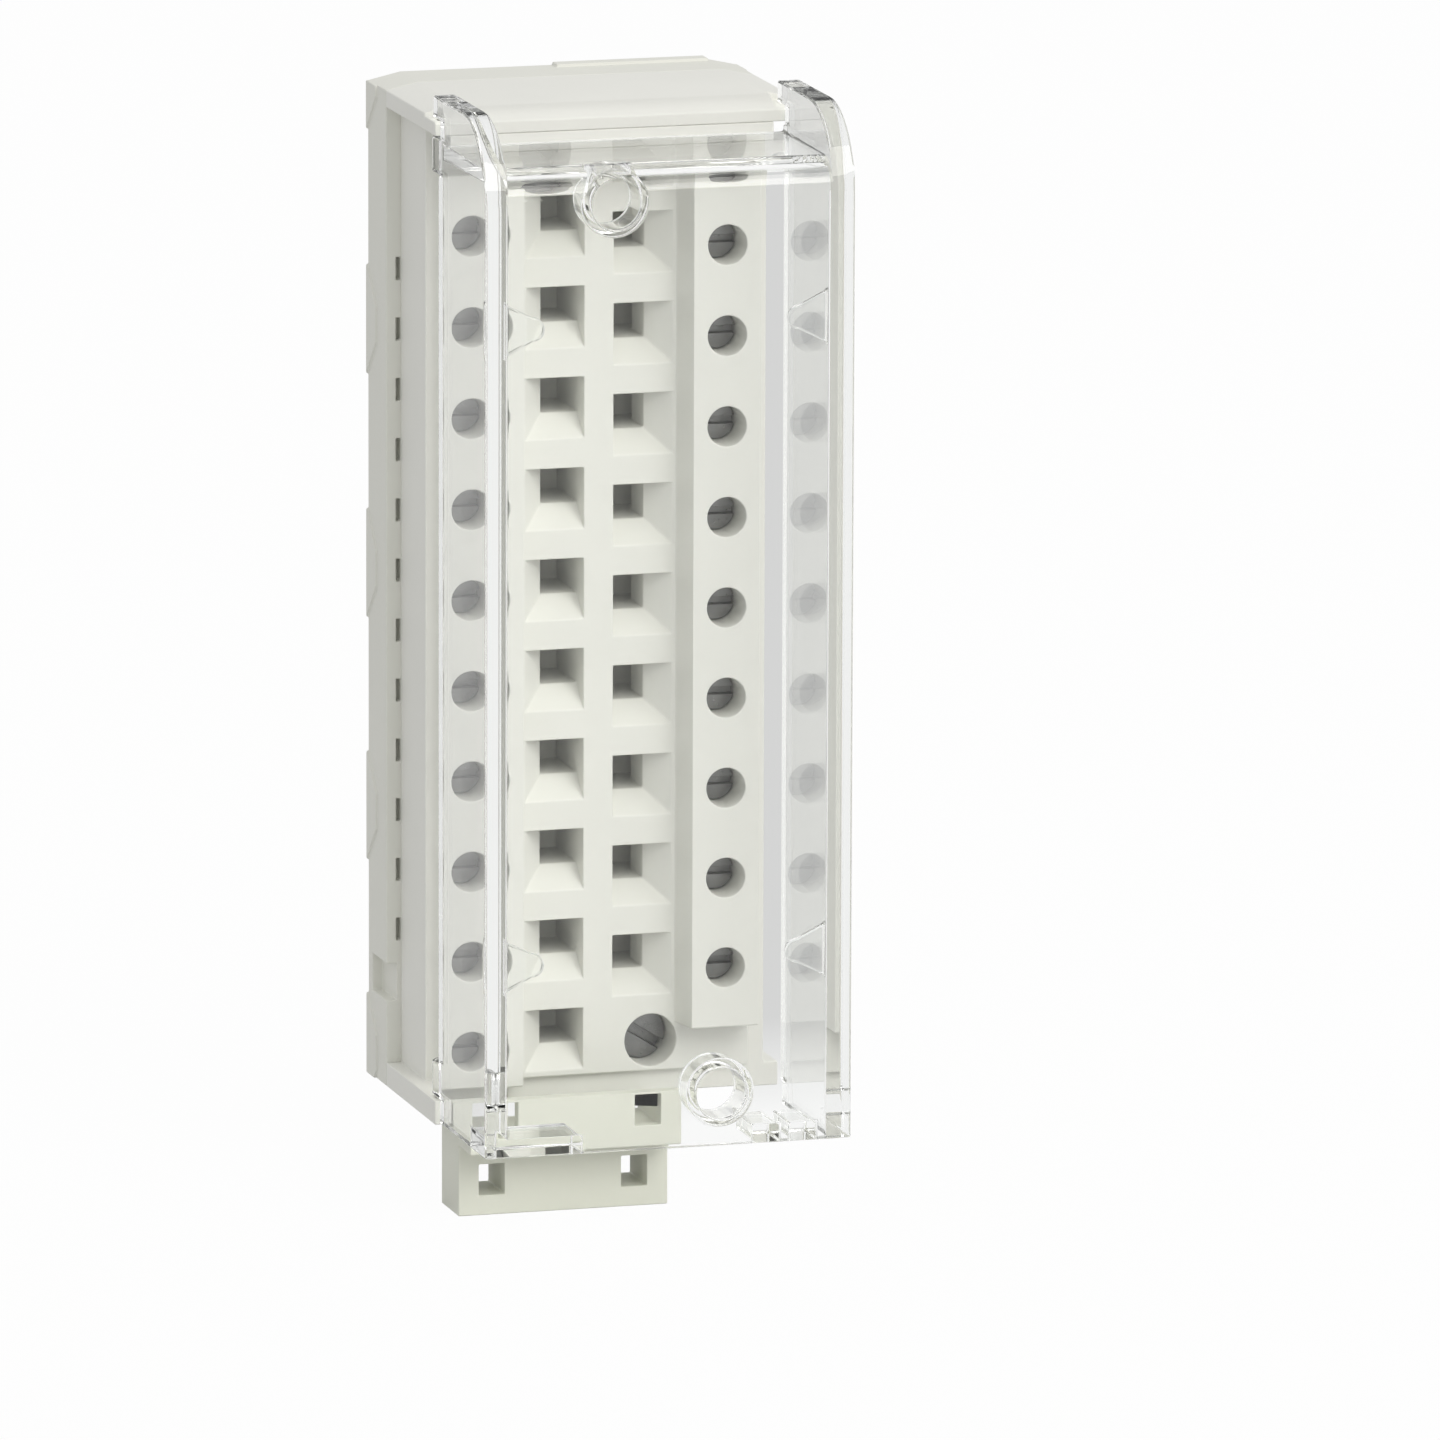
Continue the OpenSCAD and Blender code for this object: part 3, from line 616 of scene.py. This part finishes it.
class TERMINAL_OT_rim_lip(bpy.types.Operator):
    """Hang the lip below the front of the top rim, behind the clear cover's top"""

    bl_idname = "terminal.rim_lip"
    bl_label = "Rim lip"

    def execute(self, context):
        looks = context.scene.plastic_looks
        sizes = context.scene.trim_sizes
        low, high = (Vector(corner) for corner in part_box("front_housing"))
        under = high.z - sizes.rim_t
        left = low.x + sizes.lip_inset
        outline = (
            (low.y, under),
            (low.y, under - sizes.lip_drop),
            (low.y + sizes.lip_foot, under - sizes.lip_drop),
            (low.y + sizes.lip_root, under),
        )
        shape = bmesh.new()
        end = shape.faces.new([shape.verts.new((left, depth, height)) for depth, height in outline])
        made = bmesh.ops.extrude_face_region(shape, geom=[end])["geom"]
        far = [part for part in made if isinstance(part, bmesh.types.BMVert)]
        bmesh.ops.translate(shape, verts=far, vec=(high.x - low.x - 2 * sizes.lip_inset, 0, 0))
        ivory = bpy.data.materials["ivory_moulding"]
        finished_piece(shape, "rim_lip", ivory, "base", looks.edge)
        return {"FINISHED"}


class TERMINAL_OT_cover(bpy.types.Operator):
    """Finish the clear hinged cover"""

    bl_idname = "terminal.cover"
    bl_label = "Clear cover"

    def execute(self, context):
        looks = context.scene.plastic_looks
        dress("cover", clear_plastic("clear_moulding", looks), looks.clear_edge, 4, COVER_SPOTS)
        return {"FINISHED"}


class TERMINAL_OT_clamps(bpy.types.Operator):
    """Finish the clamp screws, their cages and the contacts"""

    bl_idname = "terminal.clamps"
    bl_label = "Clamps and contacts"

    def execute(self, context):
        looks = context.scene.metal_looks
        steel = plated_metal("turned_steel", looks.steel, looks)
        zinc = plated_metal("plated_cage", looks.zinc, looks, (0.2, 1, 1))
        tin = plated_metal("tinned_strip", looks.tin, looks, (0.2, 1, 1))
        for side in SIDES:
            for way in WAYS:
                dress(f"clamp_screw_{side}{way}", steel, looks.edge)
                dress(f"clamp_cage_{side}{way}", zinc, looks.edge)
        dress("contacts_left", tin)
        dress("contacts_right", tin)
        return {"FINISHED"}


class TERMINAL_OT_fixings(bpy.types.Operator):
    """Make the two captive fixing screws with slotted heads and threaded tips, and finish their clips"""

    bl_idname = "terminal.fixings"
    bl_label = "Fixing screws"

    def execute(self, context):
        looks = context.scene.metal_looks
        steel = plated_metal("fixing_steel", looks.steel, looks, (1, 0.2, 1))
        for end in ENDS:
            dress(f"retaining_clip_{end}", steel, looks.edge)
            self.turn_screw(end, steel, looks.edge, context.scene.trim_sizes)
        return {"FINISHED"}

    def turn_screw(self, end, steel, edge, sizes):
        node = f"fixing_screw_{end}"
        low, high = (Vector(corner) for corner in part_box(node))
        clip_low, clip_high = (Vector(corner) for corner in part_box(f"retaining_clip_{end}"))
        head_r = (high.x - low.x) / 2
        groove = clip_low.y - low.y
        groove_end = clip_high.y - low.y
        thread_start = high.y - low.y - sizes.thread_l
        neck = sizes.core_r / sizes.shank_r
        steps = (
            (0, sizes.shank_r / head_r),
            (groove - sizes.head_t, 1),
            (0, neck),
            (groove_end - groove, 1),
            (0, 1 / neck),
            (thread_start - groove_end, 1),
            (0, neck),
            (sizes.thread_l - sizes.tip_bevel, 1),
            (sizes.tip_bevel, 1 - sizes.tip_bevel / sizes.core_r),
        )
        shape = bmesh.new()
        rim = slotted_head(shape, head_r, sizes)
        for reach, factor in steps:
            rim = carry_rim(shape, rim, reach, factor)
        bmesh.ops.edgeloop_fill(shape, edges=rim)
        thread_ridge(shape, thread_start + sizes.thread_pitch, sizes)
        middle = ((low.x + high.x) / 2, low.y, (low.z + high.z) / 2)
        bmesh.ops.translate(shape, verts=shape.verts, vec=middle)
        piece = finished_piece(shape, f"threaded_screw_{end}", steel, f"fixing_{end}", edge)
        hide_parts(node)


# Stage

def worked_out(tree, operation, first, second):
    """One step of arithmetic on a value and on another value or a number."""
    step = tree.nodes.new("ShaderNodeMath")
    step.operation = operation
    tree.links.new(first, step.inputs[0])
    if isinstance(second, (int, float)):
        step.inputs[1].default_value = second
    else:
        tree.links.new(second, step.inputs[1])
    return step.outputs["Value"]


def seen_rays(tree):
    """One where a ray comes from the eye, or by way of metal or glass, and otherwise zero."""
    rays = tree.nodes.new("ShaderNodeLightPath").outputs
    either = worked_out(tree, "MAXIMUM", rays["Is Camera Ray"], rays["Is Glossy Ray"])
    return worked_out(tree, "MAXIMUM", either, rays["Is Transmission Ray"])


def seen_tone(tree, looks, through_tone):
    """White for the eye, lit surfaces and light led along the cover; duller in mirrors and through it."""
    rays = tree.nodes.new("ShaderNodeLightPath").outputs
    through = worked_out(tree, "MULTIPLY", rays["Is Transmission Ray"], through_tone)
    mirrored = worked_out(tree, "MULTIPLY", rays["Is Singular Ray"], looks.mirror_tone)
    soft = worked_out(tree, "SUBTRACT", rays["Is Glossy Ray"], rays["Is Singular Ray"])
    sheen = worked_out(tree, "MULTIPLY", soft, looks.sheen_tone)
    led = worked_out(tree, "MULTIPLY", rays["Transmission Depth"], rays["Glossy Depth"])
    tone = worked_out(tree, "MAXIMUM", through, mirrored)
    for other in (sheen, led, rays["Diffuse Depth"], rays["Is Camera Ray"]):
        tone = worked_out(tree, "MAXIMUM", tone, other)
    return worked_out(tree, "MINIMUM", tone, 1)


def pale_floor(looks):
    """Floor finish: takes the part's shadow, and is lifted towards white for the eye, glass and metal."""
    material, tree, shader, output = new_finish("pale_floor")
    shader.inputs["Base Color"].default_value = (*looks.floor_colour, 1.0)
    shader.inputs["Roughness"].default_value = 0.9
    shader.inputs["Specular IOR Level"].default_value = 0.0
    parts = tree.nodes.new("ShaderNodeSeparateXYZ")
    tree.links.new(place_reader(tree), parts.inputs["Vector"])
    fade = remapped(tree, parts.outputs["Y"], (looks.fade_start, looks.fade_end), (1.0, looks.through_tone))
    lift = tree.nodes.new("ShaderNodeEmission")
    tree.links.new(seen_tone(tree, looks, fade), lift.inputs["Strength"])
    share = worked_out(tree, "MULTIPLY", seen_rays(tree), looks.floor_glow)
    surface = mixed(tree, share, shader.outputs["BSDF"], lift.outputs["Emission"])
    tree.links.new(surface, output.inputs["Surface"])
    return material


class TERMINAL_OT_stage(bpy.types.Operator):
    """Lay the floor, set the lamp and the even light, and place the camera"""

    bl_idname = "terminal.stage"
    bl_label = "Stage"

    def execute(self, context):
        looks = context.scene.stage_looks
        self.lay_floor(looks)
        self.light(context.scene, looks)
        self.hang_lamp(context.scene, looks)
        self.place_camera(context.scene, looks)
        context.scene.view_settings.view_transform = "Standard"
        context.scene.cycles.max_bounces = looks.bounces
        context.scene.cycles.transmission_bounces = looks.bounces
        context.scene.cycles.glossy_bounces = looks.bounces
        return {"FINISHED"}

    def lay_floor(self, looks):
        shape = bmesh.new()
        bmesh.ops.create_grid(shape, x_segments=1, y_segments=1, size=looks.floor_size)
        bmesh.ops.translate(shape, verts=shape.verts, vec=(0, 0, cad_box[0][2]))
        floor = mesh_object(shape, "floor", pale_floor(looks))

    def light(self, scene, looks):
        world = bpy.data.worlds.new("studio")
        world.use_nodes = True
        scene.world = world
        tree = world.node_tree
        tree.nodes.clear()
        output = tree.nodes.new("ShaderNodeOutputWorld")
        even = tree.nodes.new("ShaderNodeBackground")
        even.inputs["Color"].default_value = (1, 1, 1, 1)
        even.inputs["Strength"].default_value = looks.fill
        seen = tree.nodes.new("ShaderNodeBackground")
        seen.inputs["Color"].default_value = (1, 1, 1, 1)
        tree.links.new(seen_tone(tree, looks, looks.through_tone), seen.inputs["Strength"])
        surface = mixed(tree, seen_rays(tree), even.outputs["Background"], seen.outputs["Background"])
        tree.links.new(surface, output.inputs["Surface"])

    def hang_lamp(self, scene, looks):
        lamp = bpy.data.lights.new("key", "AREA")
        lamp.shape = "SQUARE"
        lamp.size = looks.key_size
        lamp.energy = looks.key
        lamp.color = looks.key_colour
        holder = bpy.data.objects.new("key", lamp)
        scene.collection.objects.link(holder)
        place = Vector(looks.key_place)
        turn = place.to_track_quat("Z", "Y").to_matrix().to_4x4()
        holder.matrix_world = Matrix.Translation(place) @ turn

    def place_camera(self, scene, looks):
        camera = bpy.data.cameras.new("eye")
        camera.lens = looks.lens
        camera.sensor_width = looks.sensor
        camera.clip_end = 20
        holder = bpy.data.objects.new("eye", camera)
        scene.collection.objects.link(holder)
        turn = Matrix.Rotation(-looks.yaw, 4, "Z") @ Matrix.Rotation(math.pi / 2 - looks.pitch, 4, "X")
        holder.matrix_world = Matrix.Translation(looks.eye) @ turn @ Matrix.Rotation(looks.roll, 4, "Z")
        scene.camera = holder


OPERATORS = (
    TERMINAL_OT_stage,
    TERMINAL_OT_mouldings,
    TERMINAL_OT_rim_lip,
    TERMINAL_OT_cover,
    TERMINAL_OT_clamps,
    TERMINAL_OT_fixings,
)


class TERMINAL_PT_sidebar(bpy.types.Panel):
    """Sidebar list of the block's pieces and its stage"""

    bl_idname = "TERMINAL_PT_sidebar"
    bl_label = "Terminal block"
    bl_space_type = "VIEW_3D"
    bl_region_type = "UI"
    bl_category = "Terminal block"

    def draw(self, context):
        for operator in OPERATORS:
            self.layout.operator(operator.bl_idname)


GROUPS = (
    ("plastic_looks", PlasticLooks),
    ("metal_looks", MetalLooks),
    ("trim_sizes", TrimSizes),
    ("stage_looks", StageLooks),
)


def register():
    for name, group in GROUPS:
        bpy.utils.register_class(group)
        setattr(bpy.types.Scene, name, bpy.props.PointerProperty(type=group))
    for operator in OPERATORS:
        bpy.utils.register_class(operator)
    bpy.utils.register_class(TERMINAL_PT_sidebar)


def unregister():
    bpy.utils.unregister_class(TERMINAL_PT_sidebar)
    for operator in reversed(OPERATORS):
        bpy.utils.unregister_class(operator)
    for name, group in reversed(GROUPS):
        delattr(bpy.types.Scene, name)
        bpy.utils.unregister_class(group)


def main():
    register()
    bpy.ops.terminal.stage()
    bpy.ops.terminal.mouldings()
    bpy.ops.terminal.rim_lip()
    bpy.ops.terminal.cover()
    bpy.ops.terminal.clamps()
    bpy.ops.terminal.fixings()


if __name__ == "__main__":
    main()
